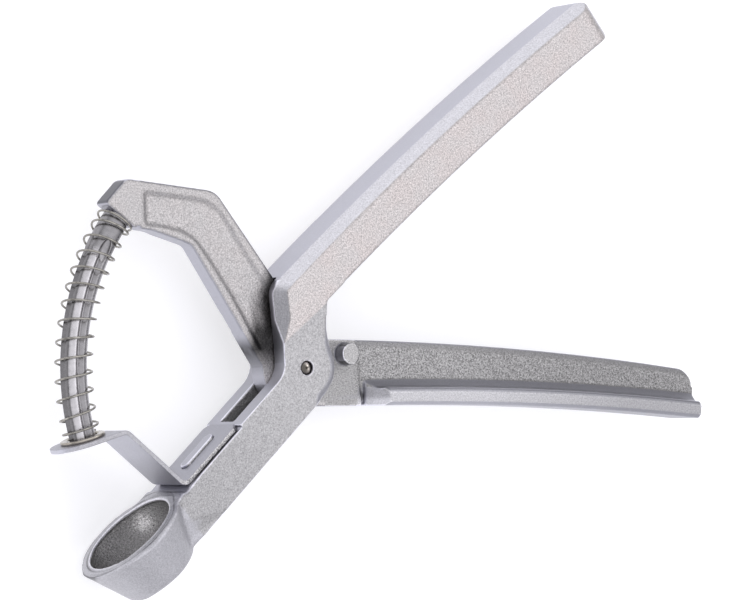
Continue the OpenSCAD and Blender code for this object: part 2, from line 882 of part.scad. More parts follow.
// One ring of the wire's surface round point i, square to the wire
function wire_ring(i) =
    let (last = len(coil_line) - 1)
    let (along = unit(coil_line[min(i + 1, last)] - coil_line[max(i - 1, 0)]))
    let (side = unit(cross(along, [each unit([coil_line[i][0], coil_line[i][1]]), 0.01])))
    let (other = cross(side, along))
    [for (k = [0 : wire_sides - 1])
        coil_line[i] + side * wire_d / 2 * cos(360 * k / wire_sides)
            + other * wire_d / 2 * sin(360 * k / wire_sides)];

module return_spring() {
    count = len(coil_line);
    points = [for (i = [0 : count - 1]) each wire_ring(i)];
    flanks = [for (i = [0 : count - 2]) for (k = [0 : wire_sides - 1])
        let (a = i * wire_sides + k, b = i * wire_sides + (k + 1) % wire_sides)
        each [[a, b, b + wire_sides], [a, b + wire_sides, a + wire_sides]]];
    caps = [for (k = [1 : wire_sides - 2])
        each [[0, k + 1, k],
              [(count - 1) * wire_sides, (count - 1) * wire_sides + k,
               (count - 1) * wire_sides + k + 1]]];
    color(steel_colour)
        polyhedron(points, concat(flanks, caps));
}

// Least gap of the wire to itself, between points over half a turn apart
coil_gap = min([for (i = [0 : last_ring]) for (j = [i + rings_per_turn / 2 + 1 : last_ring])
    norm(coil_core[i] - coil_core[j])]) - wire_d;
echo(str("Least gap of the spring to itself: ", coil_gap, " mm"));

// ---- Pivot pin ----
module pivot_pin() {
    color(steel_colour)
        cylinder(d = pin_d, h = lever_w - 2 * pin_recess, center = true, $fn = round_fn);
}

// ---- Placing ----
// The origin is under the middle of the whole object, on the surface that it lies on
left_end = (travel_r + pad_reach) * cos(pad_angle);
right_end = tang_len * cos(tang_angle);
top_end = on_grip(grip_corner[0], grip_corner[1])[1] + grip_end_r;
cup_foot = rim_centre + polar(cup_depth, cup_angle + cup_tilt + 90);
low_end = cup_foot[1] + cup_foot_d / 2 * sin(cup_angle + cup_tilt);

module placed() {
    translate([-(left_end + right_end) / 2, -(top_end + low_end) / 2, rim_r])
        children();
}

placed() cup_lever();
placed() punch_lever();
placed() punch_rod();
placed() return_spring();
placed() spring_seat();
placed() stripper_plate();
placed() pivot_pin();
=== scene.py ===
import math

import bmesh
import bpy
from mathutils import Matrix, Vector


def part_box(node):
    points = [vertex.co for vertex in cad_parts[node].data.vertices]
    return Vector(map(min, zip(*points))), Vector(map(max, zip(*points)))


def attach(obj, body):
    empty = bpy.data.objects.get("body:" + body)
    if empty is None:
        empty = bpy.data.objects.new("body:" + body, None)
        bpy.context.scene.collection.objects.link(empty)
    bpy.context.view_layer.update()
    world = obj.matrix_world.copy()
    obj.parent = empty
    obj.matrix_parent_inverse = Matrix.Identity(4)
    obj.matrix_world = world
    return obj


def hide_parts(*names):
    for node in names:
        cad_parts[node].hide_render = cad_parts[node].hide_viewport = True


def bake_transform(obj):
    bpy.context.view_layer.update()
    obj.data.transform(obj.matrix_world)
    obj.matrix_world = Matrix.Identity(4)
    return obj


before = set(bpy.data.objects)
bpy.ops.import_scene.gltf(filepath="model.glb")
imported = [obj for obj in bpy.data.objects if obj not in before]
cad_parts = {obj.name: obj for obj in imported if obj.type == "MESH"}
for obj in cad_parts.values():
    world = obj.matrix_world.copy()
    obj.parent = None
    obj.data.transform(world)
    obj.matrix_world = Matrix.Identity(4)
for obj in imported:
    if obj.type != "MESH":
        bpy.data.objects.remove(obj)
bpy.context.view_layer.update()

# ---- Camera, floor and light ----
# The pitter lies on its side on a white table, seen from the upper left of the cup. The camera
# stands 0.8 m from the pivot, with a long lens. Lengths are in mm from the pivot pin's middle:
# X towards the handles, Y towards the upper handle, Z along the pin.

# The pin's middle in mm, as half the sum of its box's corners
PIN = (Vector(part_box("pivot_pin")[0]) + Vector(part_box("pivot_pin")[1])) * 500


def at(x, y, z):
    """A place in mm from the pin, in the frame's metres."""
    return (Vector((x, y, z)) + PIN) / 1000


def polar(radius, degrees, z=0.0):
    """A place at a distance from the pin's axis and a turn round it."""
    angle = math.radians(degrees)
    return Vector((radius * math.cos(angle), radius * math.sin(angle), z))


# The ways from the pivot to the camera, and to the right and the top of the picture
towards = Vector((-0.5504, -0.0414, 0.8339)).normalized()
right = Vector((0, 1, 0)).cross(towards).normalized()
upwards = towards.cross(right)
camera = bpy.data.objects.new("camera", bpy.data.cameras.new("camera"))
camera.data.lens = 171.03
camera.data.sensor_width = 36
camera.data.sensor_fit = "HORIZONTAL"
camera.data.clip_start, camera.data.clip_end = 0.05, 20
stand = at(*(19.22 * right + 15.38 * upwards + 800 * towards))
camera.matrix_world = Matrix.Translation(stand) \
    @ Matrix((right, upwards, towards)).transposed().to_4x4()
bpy.context.scene.collection.objects.link(camera)
bpy.context.scene.camera = camera
bpy.context.scene.view_settings.view_transform = "Standard"


def colour(hex_value):
    """An sRGB hex colour as linear light."""
    parts = [int(hex_value[i:i + 2], 16) / 255 for i in (1, 3, 5)]
    linear = [p / 12.92 if p <= 0.04045 else ((p + 0.055) / 1.055) ** 2.4 for p in parts]
    return (*linear, 1)


def node(material, kind, inputs=(), **settings):
    """Adds one shader node, with its settings, and values or links for its inputs."""
    made = material.node_tree.nodes.new("ShaderNode" + kind)
    for name, value in settings.items():
        setattr(made, name, value)
    for name, value in dict(inputs).items():
        if isinstance(value, bpy.types.NodeSocket):
            material.node_tree.links.new(value, made.inputs[name])
        else:
            made.inputs[name].default_value = value
    return made


def new_material(name):
    """A material with an empty node tree."""
    material = bpy.data.materials.new(name)
    material.use_nodes = True
    material.node_tree.nodes.clear()
    return material


def shade(material, shader):
    """Ends a material: its shader goes to the surface."""
    node(material, "OutputMaterial", {"Surface": shader.outputs[0]})


def solid(name, bm, *materials):
    """Makes a smooth-shaded object of a bmesh, and links it to the scene."""
    mesh = bpy.data.meshes.new(name)
    bm.to_mesh(mesh)
    bm.free()
    for material in materials:
        mesh.materials.append(material)
    mesh.shade_smooth()
    made = bpy.data.objects.new(name, mesh)
    bpy.context.scene.collection.objects.link(made)
    return made


table_paint = new_material("white_table_lacquer")
# A faint glow keeps the shadows as light as on a lit table
shade(table_paint, node(table_paint, "BsdfPrincipled", {
    "Base Color": colour("#c9c9cc"), "Roughness": 0.9, "Specular IOR Level": 0.1,
    "Emission Color": colour("#ffffff"), "Emission Strength": 0.5}))
bm = bmesh.new()
bmesh.ops.create_grid(bm, x_segments=1, y_segments=1, size=4)
solid("table", bm, table_paint)

# A white tent: bright overhead, and dimmer towards the horizon
tent = bpy.data.worlds.new("white_tent")
tent.use_nodes = True
tent.node_tree.nodes.clear()
way = node(tent, "TexCoord").outputs["Generated"]
height = node(tent, "SeparateXYZ", {"Vector": way}).outputs["Z"]
glow = node(tent, "MapRange", {"Value": height, "From Min": 0.0, "From Max": 0.8, "To Min": 0.62,
                               "To Max": 1.45}, interpolation_type="SMOOTHSTEP").outputs["Result"]
light = node(tent, "Background", {"Color": colour("#f8f8fd"), "Strength": glow})
tent.node_tree.links.new(light.outputs[0],
                         tent.node_tree.nodes.new("ShaderNodeOutputWorld").inputs["Surface"])
bpy.context.scene.world = tent


def softbox(name, place, size, power, aim=(0, 0, 0)):
    """A square soft light, its size and place in metres and its power in watts."""
    lamp = bpy.data.objects.new(name, bpy.data.lights.new(name, "AREA"))
    lamp.data.size, lamp.data.energy = size, power
    lamp.location = place
    lamp.rotation_euler = (Vector(place) - Vector(aim)).to_track_quat("Z", "Y").to_euler()
    bpy.context.scene.collection.objects.link(lamp)


softbox("softbox_over_handles", (0.62, 0.30, 0.75), size=0.30, power=0.35,
        aim=(0.02, 0.03, 0))
softbox("softbox_behind_back", (-0.15, 0.80, 0.30), size=0.45, power=0.5)

# ---- Cup lever ----
# One aluminium die casting: the cup, its arm with an open channel, two cheeks and the hollow
# upper handle. It is tumbled after casting, so every edge is soft and the sides sparkle.


def casting(name):
    """A merged copy of a CAD node, in mm from the pin."""
    bm = bmesh.new()
    bm.from_mesh(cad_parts[name].data)
    bm.transform(Matrix.Translation(-PIN) @ Matrix.Scale(1000, 4))
    bmesh.ops.remove_doubles(bm, verts=bm.verts, dist=0.0005)
    return bm


def evaluated(source):
    """A new mesh with an object's modifiers applied."""
    graph = bpy.context.evaluated_depsgraph_get()
    return bpy.data.meshes.new_from_object(source.evaluated_get(graph))


def settled(source):
    """Applies an object's modifiers to its own mesh."""
    mesh = evaluated(source)
    source.modifiers.clear()
    source.data = mesh
    return mesh


def worked(body, *changes):
    """A body with metal added or cut away: changes are pairs of UNION or DIFFERENCE and a body."""
    blank = solid("blank", body)
    tools = []
    for operation, tool in changes:
        tools.append(solid("tool", tool))
        change = blank.modifiers.new("change", "BOOLEAN")
        change.solver, change.operation, change.object = "MANIFOLD", operation, tools[-1]
    bm = bmesh.new()
    bm.from_mesh(evaluated(blank))
    for used in (blank, *tools):
        bpy.data.objects.remove(used)
    return bm


def lathe(profile, place, steps=96):
    """A turned body: its profile of (radius, height) points is spun round the place's Z."""
    bm = bmesh.new()
    ring = [bm.verts.new((radius, 0, height)) for radius, height in profile]
    edges = [bm.edges.new((ring[i], ring[(i + 1) % len(ring)])) for i in range(len(ring))
             if i + 1 < len(ring) or profile[0][0] > 0]
    bmesh.ops.spin(bm, geom=ring + edges, axis=(0, 0, 1), cent=(0, 0, 0), steps=steps,
                   angle=2 * math.pi, use_merge=True)
    bmesh.ops.remove_doubles(bm, verts=bm.verts, dist=0.0001)
    bmesh.ops.recalc_face_normals(bm, faces=bm.faces)
    bm.transform(place)
    return bm


def facing(place, axis, aside=(0, 0, 1)):
    """A frame at a place, with its Z along axis and its X nearest to aside."""
    z = Vector(axis).normalized()
    y = z.cross(Vector(aside)).normalized()
    return Matrix.Translation(place) @ Matrix((y.cross(z), y, z)).transposed().to_4x4()


def ramp(value, low, high):
    """0 below low, 1 above high, and even between."""
    return min(1, max(0, (value - low) / (high - low)))


def above(point, a, b):
    """How far a point lies to the left of the line from a to b, in mm."""
    length = math.hypot(b[0] - a[0], b[1] - a[1])
    return ((b[0] - a[0]) * (point[1] - a[1]) - (b[1] - a[1]) * (point[0] - a[0])) / length


def wear_down(skin, rounds):
    """Wears an object's edges round, and its points a little closer, by a number of rounds."""
    worn = skin.modifiers.new("worn", "SMOOTH")
    worn.factor, worn.iterations = 0.5, rounds
    return worn


def mark(mesh, name, values):
    """Gives each point of a mesh a value, which its material reads by the name."""
    mesh.attributes.new(name, "FLOAT", "POINT").data.foreach_set("value", values)


# From mm from the pin to the frame's metres
TO_FRAME = Matrix.Scale(0.001, 4) @ Matrix.Translation(PIN)
# Rounds of wear on a blend, and between a skin and the softer one that shows where its edges are
BLEND_ROUNDS, EDGE_ROUNDS = 60, 8


def tumbled(name, body, finish, cell=0.22, rounds=5, faces=95000, press=None, blends=None):
    """A casting's worn skin, in place. press moves its points, its edges are worn round, most
    where blends says so, and finish gives each point its tone, grain, warmth and the weight of its
    painted edge highlight. The attribute edge says how far a point stands out on a rubbed edge,
    where a highlight is painted, or lies back in a crease, where shade is painted."""
    skin = solid(name, body)
    cells = skin.modifiers.new("skin", "REMESH")
    cells.mode, cells.voxel_size = "VOXEL", cell
    mesh = settled(skin)
    if press:
        for vertex, move in [(v, press(v.co, v.normal)) for v in mesh.vertices]:
            vertex.co += Vector(move)
    wear_down(skin, rounds)
    if blends:
        soft = skin.vertex_groups.new(name="blends")
        for vertex in mesh.vertices:
            amount = blends(vertex.co)
            if amount > 0:
                soft.add([vertex.index], amount, "REPLACE")
        wear_down(skin, BLEND_ROUNDS).vertex_group = "blends"
    mesh = settled(skin)
    skin.vertex_groups.clear()
    wear_down(skin, EDGE_ROUNDS)
    softer = evaluated(skin)
    skin.modifiers.clear()
    mark(mesh, "edge", [(sharp.co - soft.co).dot(sharp.normal)
                        for sharp, soft in zip(mesh.vertices, softer.vertices)])
    fewer = skin.modifiers.new("fewer faces", "DECIMATE")
    fewer.ratio = min(1, faces / len(mesh.polygons))
    mesh = settled(skin)
    values = [finish(vertex.co, vertex.normal) for vertex in mesh.vertices]
    for index, surface in enumerate(("tone", "grain", "warmth")):
        mark(mesh, surface, [value[index] for value in values])
    # The finish weights the painted highlight on edges that stand out; creases keep their painted
    # shade
    for (*_, edge_highlight), kept in zip(values, mesh.attributes["edge"].data):
        kept.value *= edge_highlight if kept.value > 0 else 1
    mesh.transform(TO_FRAME)
    mesh.shade_smooth()
    return skin


# Tumbled cast aluminium: rough enough to show no clear reflection. Its broad sides are covered
# with small bright pits, which give a sparkle. Hollows and creases are painted dark as shade, and
# edges are painted bright: partly rubbed metal, partly a painted highlight.
cast = new_material("tumbled_cast_aluminium")
spot = node(cast, "TexCoord").outputs["Object"]
tone, grain, warmth, edge = (node(cast, "Attribute", attribute_name=name).outputs["Fac"]
                             for name in ("tone", "grain", "warmth", "edge"))
# Pits 0.6 mm and specks 0.34 mm across: the real ones are finer, but these are the finest that
# show
pits = node(cast, "TexNoise", {"Vector": spot, "Scale": 1 / 0.0006, "Detail": 3.0,
                               "Roughness": 0.75}).outputs["Fac"]
specks = node(cast, "TexNoise", {"Vector": spot, "Scale": 1 / 0.00034, "Detail": 2.0,
                                 "Roughness": 0.7}).outputs["Fac"]
speckle = node(cast, "MapRange", {"Value": specks, "From Min": 0.3, "From Max": 0.7,
                                  "To Min": -0.37, "To Max": 0.37}).outputs["Result"]
speckle = node(cast, "Math", {0: speckle, 1: grain, 2: 1.0}, operation="MULTIPLY_ADD").outputs[0]
# Painted highlight on edges that stand out, partly rubbed metal; painted shade in creases
painted_highlight = node(cast, "MapRange", {"Value": edge, "From Min": 0.014, "From Max": 0.045,
                                 "To Min": 1.0, "To Max": 1.8},
              interpolation_type="SMOOTHSTEP").outputs["Result"]
painted_crease_shade = node(cast, "MapRange", {"Value": edge, "From Min": -0.04, "From Max": -0.006,
                                    "To Min": 0.4, "To Max": 1.0},
                 interpolation_type="SMOOTHSTEP").outputs["Result"]
# wear: the painted edge highlight times the painted crease shade
wear = node(cast, "Math", {0: painted_highlight, 1: painted_crease_shade}, operation="MULTIPLY").outputs[0]
light_tone = node(cast, "Math", {0: tone, 1: speckle}, operation="MULTIPLY").outputs[0]
light_tone = node(cast, "Math", {0: light_tone, 1: wear}, operation="MULTIPLY",
                  use_clamp=True).outputs[0]
# Smooth skin looks a little blue beside the pitted sides, and the upper handle has a warm cast
# in patches of 5 mm
patches = node(cast, "TexNoise", {"Vector": spot, "Scale": 1 / 0.005,
                                  "Detail": 1.0}).outputs["Fac"]
patches = node(cast, "MapRange", {"Value": patches, "From Min": 0.35, "From Max": 0.65,
                                  "To Min": 0.6, "To Max": 1.0}).outputs["Result"]
warm = node(cast, "Math", {0: patches, 1: warmth}, operation="MULTIPLY", use_clamp=True).outputs[0]
tint = node(cast, "Mix", {"Factor": grain, "A": colour("#efeffb"), "B": colour("#fbf9f8")},
            data_type="RGBA").outputs["Result"]
tint = node(cast, "Mix", {"Factor": warm, "A": tint, "B": colour("#fff6f3")},
            data_type="RGBA").outputs["Result"]
paint = node(cast, "Mix", {"Factor": 1.0, "A": tint, "B": light_tone}, data_type="RGBA",
             blend_type="MULTIPLY").outputs["Result"]
depth = node(cast, "Math", {0: grain, 1: 0.9}, operation="MULTIPLY", use_clamp=True).outputs[0]
bump = node(cast, "Bump", {"Height": pits, "Strength": depth,
                           "Distance": 0.0003}).outputs["Normal"]
shade(cast, node(cast, "BsdfPrincipled", {
    "Base Color": paint, "Metallic": 1.0, "Roughness": 0.42, "Normal": bump}))

# The radius of the arc that the rod travels on, the middle of the cup's mouth, the way into the
# cup, and the outside radius of its rim
TRAVEL, RIM, CUP_WAY, CUP_R = 55, polar(55, 221.8), polar(1, 313.8), 13.4
# The ways along the cup's arm and up from its channel's floor
ARM, ARM_UP = polar(1, 224.5), polar(1, 134.5)
# The line on the sides where the cheeks end and the handle starts, and the way out through the
# handle's back
STEP, BACK = ((-6.2, 5.2), (6.5, 15.6)), polar(1, 128.75)


def in_cup(point):
    """A point's depth below the rim and its distance from the cup's axis."""
    offset = Vector(point) - RIM
    depth = offset.dot(CUP_WAY)
    return depth, (offset - depth * CUP_WAY).length


def beside_hub(point):
    """How far a point of the cheeks lies towards their right edge, from 0 to 1."""
    start = 4.5 if point[1] > 0 else 2.3
    return ramp(math.hypot(point[0], point[1]), 6.0, 7.6) * ramp(point[0], start, start + 1.7) \
        * ramp(point[1], 11, 7) * ramp(point[1], -12, -9)


def step_down(point, normal):
    """The cheeks and the arm are ground 0.1 mm lower than the handle's sides, and the cheeks
    slope off towards their right edge."""
    if abs(point.z) < 5:
        return 0, 0, 0
    lower = 0 if abs(normal.z) < 0.7 or abs(point.z) < 7 else \
        ramp(-above(point, *STEP), -0.1, 0.25) * (1 - ramp(Vector(point).dot(ARM), 30, 38))
    slope = beside_hub(point) ** 1.5 * ramp(abs(point.z), 5, 7.5)
    return 0, 0, -(0.1 * lower + 0.6 * slope) * math.copysign(1, point.z)


def cup_blends(point):
    """How much a place on the cup lever is blended into its neighbours, from 0 to 1."""
    depth, radius = in_cup(point)
    arm, up = Vector(point).dot(ARM), Vector(point).dot(ARM_UP)
    if arm > 36:
        on_cone = (radius - CUP_R + 0.383 * depth) * 0.93
        beside = 1 - ramp(math.hypot(on_cone, abs(point.z) - 7.65), 0.8, 3.2)
        foot = 1 - ramp(math.hypot(arm - 48.6, up + 7.8), 1.0, 3.5)
        neck = (1 - ramp(abs(arm - 43.5), 1, 4)) * ramp(up, -2, 0) * ramp(radius, 13.0, 13.6)
        return max(beside, foot, neck)
    if point.x > 10 and abs(point.z) > 4:
        return 0.4
    right_edge = (1 - ramp(abs(point.x - 5.3), 0.8, 1.6)) * ramp(abs(point.z), 6, 7)
    return right_edge if -8 < point.y < 12 else 0


def edge_shade(normal):
    """The worn round of an edge, beside a flat side, mirrors the dark of the room."""
    tilt = abs(normal.z)
    return 1 - 0.25 * ramp(tilt, 0.7, 0.85) * (1 - ramp(tilt, 0.95, 0.99))


def cup_finish(point, normal):
    """The tone, grain, warmth and edge highlight weight of a place on the cup lever, area by area.
    """
    side = ramp(abs(normal.z), 0.75, 0.95)
    depth, radius = in_cup(point)
    arm = Vector(point).dot(ARM)
    inward = normal.dot(Vector(point) - RIM - depth * CUP_WAY) < 0
    if radius < 11.4 and 0.3 < depth < 11 and (inward or radius < 5):
        # The bowl is painted dark, as the shade inside the cup, with a painted highlight where the
        # fruit sits and two fainter painted highlights beside it
        painted_highlight, upper, tip = (
            math.exp(-(Vector(point) - Vector(middle)).length_squared / spread)
            for middle, spread in (((-33.7, -34.2, -6.9), 4.5), ((-30.7, -30.6, -4.9), 14),
                                   ((-43.6, -38.6, -8.7), 16)))
        return 0.25 + 0.55 * painted_highlight + 0.15 * upper + 0.14 * tip, 1.1 + 1.4 * painted_highlight, 0.1, 0
    if radius < 14 and -1 < depth < 13 and (side < 0.6 or arm > 45):
        # A painted highlight round the mouth, and painted shade lines inside and outside the flat
        # rim, the inner one darker towards negative Z
        mouth = math.exp(-((radius - 10.85) / 0.18) ** 2) if depth < 0.4 else 0
        groove = math.exp(-((radius - 11.55) / 0.22) ** 2) if depth < 0.4 else 0
        shoulder = CUP_R - 0.2 - ramp(point.z, 1, 8)
        outside = math.exp(-((radius - shoulder) / 0.2) ** 2) if depth < 0.6 else 0
        lines = 0.7 * mouth - (0.2 + 0.5 * ramp(point.z, 2, -4)) * groove - 0.65 * outside
        return (0.49 + 0.07 * ramp(depth, 1, 0)) * (1 + lines), 0.5, 0, 0.15
    if abs(point.z) < 2.95 and arm < 20.5 and point.y < 0 \
            and -5.7 < Vector(point).dot(ARM_UP) < 2.6:
        # The channel in the arm, painted dark as the shade inside it
        return 0.34, 0.9, 0, 1
    if abs(point.z) < 5.3 and Vector(point).dot(BACK) < 19 and point.x > 14:
        # The hollow of the handle, painted dark as the shade inside it
        return 0.3, 0.8, 0, 1
    handle = ramp(above(point, *STEP), -0.1, 0.3)
    # Painted light: the sides are lighter on the handle and darker along the arm towards the cup
    sides = 0.455 + 0.125 * handle - 0.04 * ramp(arm, 4, 30)
    # The bevel beside the slot is hollow, and is painted darker as the shade of the punch arm. The
    # ridge between the bevel and the slot is painted bright as a highlight line
    beside = -9 < point.x < -4 and 1 < point.y < 19.5
    hollow = ramp(normal.x, -0.2, -0.5) * ramp(abs(normal.z), 0.2, 0.4) * ramp(point.y, 19, 16.5) \
        if beside else 0
    ridge = math.exp(-((abs(normal.z) - 0.28) / 0.18) ** 2) if beside and abs(point.z) > 4 else 0
    bevel = ramp(abs(normal.z), 0.2, 0.4) * handle
    # The slot's walls are painted darker, as the shade inside the slot
    slot_shade = 0.25 if beside and abs(normal.z) < 0.15 else 0
    # The seat's shadow line beside the plate's tab
    shadow = 0.85 * ramp(abs(Vector(point).dot(ARM_UP) - 2.55), 0.4, 0.2) \
        if 22 < arm < 38.5 and 6.4 < abs(point.z) < 7.3 else 0
    slope = ramp(beside_hub(point), 0, 0.2)
    skin = 0.54 + 0.12 * bevel
    return ((skin + (sides - skin) * side) * (1 - 0.45 * hollow) * (1 - shadow) * (1 - slot_shade)
            * edge_shade(normal) * (1 + 2.2 * ridge),
            0.12 + 0.4 * bevel * (1 - side) + side * (0.75 + 0.2 * handle) * (1 - 0.7 * slope),
            handle * side, 1 - handle)


# The bowl's mouth has a fine raised bead, and files have broken the rim's near edge in facets
bead = [(11.0 + 0.34 * math.cos(a), 0.34 * math.sin(a)) for a in
        (math.radians(30 * k) for k in range(12))]
changes = [("UNION", lathe(bead, facing(RIM, CUP_WAY)))]
for turn, lean, bite in ((62, 42, 0.5), (80, 50, 0.8), (96, 44, 0.65), (110, 52, 0.5)):
    outwards = math.cos(math.radians(turn)) * polar(1, 223.8) \
        + math.sin(math.radians(turn)) * Vector((0, 0, 1))
    flat = math.cos(math.radians(lean)) * outwards - math.sin(math.radians(lean)) * CUP_WAY
    file = bmesh.new()
    bmesh.ops.create_cube(file, size=5)
    file.transform(facing(RIM + CUP_R * outwards + (2.5 - bite) * flat, flat, CUP_WAY))
    changes.append(("DIFFERENCE", file))
cup_lever = tumbled("cup_lever_casting", worked(casting("cup_lever"), *changes),
                    cup_finish, press=step_down, blends=cup_blends)
cup_lever.data.materials.append(cast)
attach(cup_lever, "cup_lever_body")
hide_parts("cup_lever")

# ---- Punch lever ----
# The second casting: head, bent punch arm, hub with its two bosses, and the lower handle with
# the flange that the hand presses. Its web keeps the coarse skin of the mould.

# The ways along the lower handle and up across it, and how far the pressed face lies below the
# pin and the web's upper edge above it
TANG, TANG_UP, PRESSED, WEB_TOP = polar(1, -1.1), polar(1, 88.9), 6.9, 7.1


def dropped(x, highest):
    """How far the handle's long curve, of 870 mm radius, has dropped from its highest place."""
    return 870 - math.sqrt(870 ** 2 - (x - highest) ** 2)


def tang_place(point):
    """A point's place along the lower handle, and its height above the pressed face."""
    x, y = Vector(point).dot(TANG), Vector(point).dot(TANG_UP)
    return x, y + PRESSED + dropped(x, 61)


def tang_top(x):
    """The height of the web's upper edge above the pressed face."""
    return WEB_TOP + PRESSED + dropped(x, 61) - dropped(x, 30)


def punch_blends(point):
    """How much a place on the punch lever is blended into its neighbours, from 0 to 1."""
    x, up = tang_place(point)
    if x > 17:
        fillet = (1 - ramp(math.hypot(up - 4.5, abs(point.z) - 3), 1.2, 2.2)) * 0.8
        start = (1 - ramp(math.hypot(x - 18.5, abs(point.z) - 6), 1.5, 3.5)) * ramp(up, 0.6, 1.6)
        top = 1 - ramp(tang_top(x) - up, 0.8, 2.2)
        step = (1 - ramp(abs(x - 16), 1.0, 2.5)) * ramp(up, 4, 5)
        return max(fillet, start, step, top if up > 5 else 0)
    if x > 13 and 4 < up < 15:
        return 1 - ramp(abs(x - 16), 1.0, 2.5)
    return 0.45 if point.y > 8 and x < 8 else 0


def thick_flange(point, normal):
    """The flange is 0.6 mm thicker at its root than a plain strip."""
    x, up = tang_place(point)
    if x < 16.5 or up > 8:
        return 0, 0, 0
    return 0.6 * ramp(x, 16.5, 18) * ramp(up, 1.6, 3.2) * ramp(up, 7.5, 5.5) * TANG_UP


def punch_finish(point, normal):
    """The tone, grain, warmth and edge highlight weight of a place on the punch lever, area by
    area.
    """
    side = ramp(abs(normal.z), 0.75, 0.95)
    x, up = tang_place(point)
    if x > 11 and abs(point.z) > 3.2 and up > 8:
        # The bosses' sides are painted dark, as the shade round them
        return 0.14 + 0.32 * side, 0.5 + 0.5 * side, 0, 1
    if x > 8:
        web = ramp(x, 15.5, 17)
        if up < 4.3 and x > 16.5:
            # A painted highlight line runs along the flange's inner edge, with a painted dark line
            # beside it. The flange's start is painted darker as shade where its faces look along
            # the handle, and has a darker patch
            start = ramp(abs(normal.x), 0.3, 0.6) if x < 20 else 0
            darker_patch = ramp(x, 24, 23) * ramp(up, 1.2, 2.2)
            lines = 0.25 * math.exp(-((up - 4.15) / 0.15) ** 2) \
                - 0.45 * math.exp(-((up - 3.7) / 0.17) ** 2) if abs(point.z) > 5 else 0
            return (0.53 * (1 - 0.27 * ramp(x, 50, 90)) * (1 - 0.15 * start) * (1 - 0.4 * darker_patch)
                    * (1 + lines), 0.2 + 0.5 * side, 0, 1)
        # The web's rounded upper edge and its fillet by the flange are painted darker, as shade
        below_top = tang_top(x) - up
        rounded = (1 - ramp(below_top, 1.2, 1.8)) * web
        fillet = ramp(abs(normal.z), 0.93, 0.85) * web if up < 6.6 else 0
        return ((0.44 - (0.07 + 0.02 * web) * side) * (1 - 0.2 * rounded) * (1 - 0.3 * fillet)
                * (1 - 0.15 * ramp(x, 40, 75)),
                0.2 + (0.8 + 0.9 * web) * side * (1 - 0.6 * rounded), 0, 1)
    # The head's end facet looks away from the light and is painted dark as shade; the arm's root
    # is painted dark as the shadow where it lies beside the slot
    end = ramp(normal.x, -0.4, -0.6) * ramp(normal.y, -0.4, 0) if point.x < -38 else 0
    root = ramp(point.x + 9.2 + 0.28 * (16 - point.y), -1.4, 1.4) * ramp(point.y, -2, 4)
    # The panel's sloping walls are painted darker where they look up or away from the head, and
    # most at the inner crease: painted shade
    wall = ramp(abs(normal.z), 0.95, 0.85) if 1.8 < abs(point.z) < 2.55 and point.x > -40 \
        and abs(normal.z) > 0.3 else 0
    turned = ramp(normal.dot(Vector((0.6, 0.8, 0))), -0.05, 0.2)
    crease = ramp(abs(point.z), 2.2, 2.05)
    return ((0.58 - 0.08 * side) * edge_shade(normal) * (1 - 0.72 * end) * (1 - 0.87 * root)
            * (1 - wall * (0.1 + 0.32 * turned + 0.2 * crease)),
            0.12 + 0.85 * side, 0.45 * side, 0.1)


def slab(outline, low, high):
    """A plate of the outline's shape, from height low to high."""
    bm = bmesh.new()
    face = bm.faces.new([bm.verts.new((x, y, low)) for x, y in outline])
    made = bmesh.ops.extrude_face_region(bm, geom=[face])["geom"]
    bmesh.ops.translate(bm, vec=(0, 0, high - low),
                        verts=[v for v in made if isinstance(v, bmesh.types.BMVert)])
    bmesh.ops.recalc_face_normals(bm, faces=bm.faces)
    return bm


# The recessed panel on each side of the arm has sloping walls and round corners. The plain
# panel is filled first
changes = [("UNION", slab(
    [(-39.6, 39), (-39.7, 29.9), (-34.3, 29.4), (-29.8, 28.5), (-27, 27), (-23.5, 23),
     (-17.6, 15), (-10, 3.2), (-6.5, 5), (-3.2, 9.2), (-4.4, 15.3), (-8, 20.1), (-13.8, 27.7),
     (-18.4, 34), (-20.9, 36.5), (-23.8, 37.7), (-30.5, 38.1)], -2.6, 2.6))]
panel_outline = [
    (-39.4, 38.6), (-39.1, 30.5), (-34.3, 30.2), (-29.5, 29.3), (-26.4, 27.7), (-22.8, 23.5),
    (-16.9, 15.5), (-9.3, 3.4), (-6.2, 5.5), (-3.6, 9.5), (-4.6, 14.6), (-7.3, 18.5),
    (-13.2, 26.5), (-17.4, 32.3), (-19.5, 35), (-22.2, 36.8), (-25.3, 37.5), (-30.5, 37.9)]
# What is cut off the flange's corners, so that it widens over its first 6 mm
corner_outline = [(17.6, 2.9), (18, 2.9), (23.8, 6.2), (23.8, 8), (17.6, 8)]
for face in (1, -1):
    panel = slab(panel_outline, 2.6, 3.2)
    upright = [e for e in panel.edges if abs(e.verts[0].co.z - e.verts[1].co.z) > 0.1]
    bmesh.ops.bevel(panel, geom=upright, offset=0.9, segments=4, profile=0.5, affect="EDGES",
                    material=-1, clamp_overlap=True)
    floor = [f for f in panel.faces if f.normal.z < -0.9]
    bmesh.ops.inset_region(panel, faces=floor, thickness=1.1, depth=0.6, use_even_offset=True)
    corner = slab(corner_outline, -9, -1)
    corner.transform(Matrix.Rotation(math.radians(-90), 4, "X"))
    for cutter in (panel, corner):
        bmesh.ops.scale(cutter, vec=(1, 1, face), verts=cutter.verts)
        bmesh.ops.recalc_face_normals(cutter, faces=cutter.faces)
        changes.append(("DIFFERENCE", cutter))
punch_lever = tumbled("punch_lever_casting", worked(casting("punch_lever"), *changes),
                      punch_finish, press=thick_flange, blends=punch_blends)
punch_lever.data.materials.append(cast)
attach(punch_lever, "punch_lever_body")
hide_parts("punch_lever")

# ---- Stripper plate ----
# A strip of 1 mm aluminium sheet, bent twice and staked to the arm. Its cut edges are sheared:
# bright, and rougher than its tumbled faces.


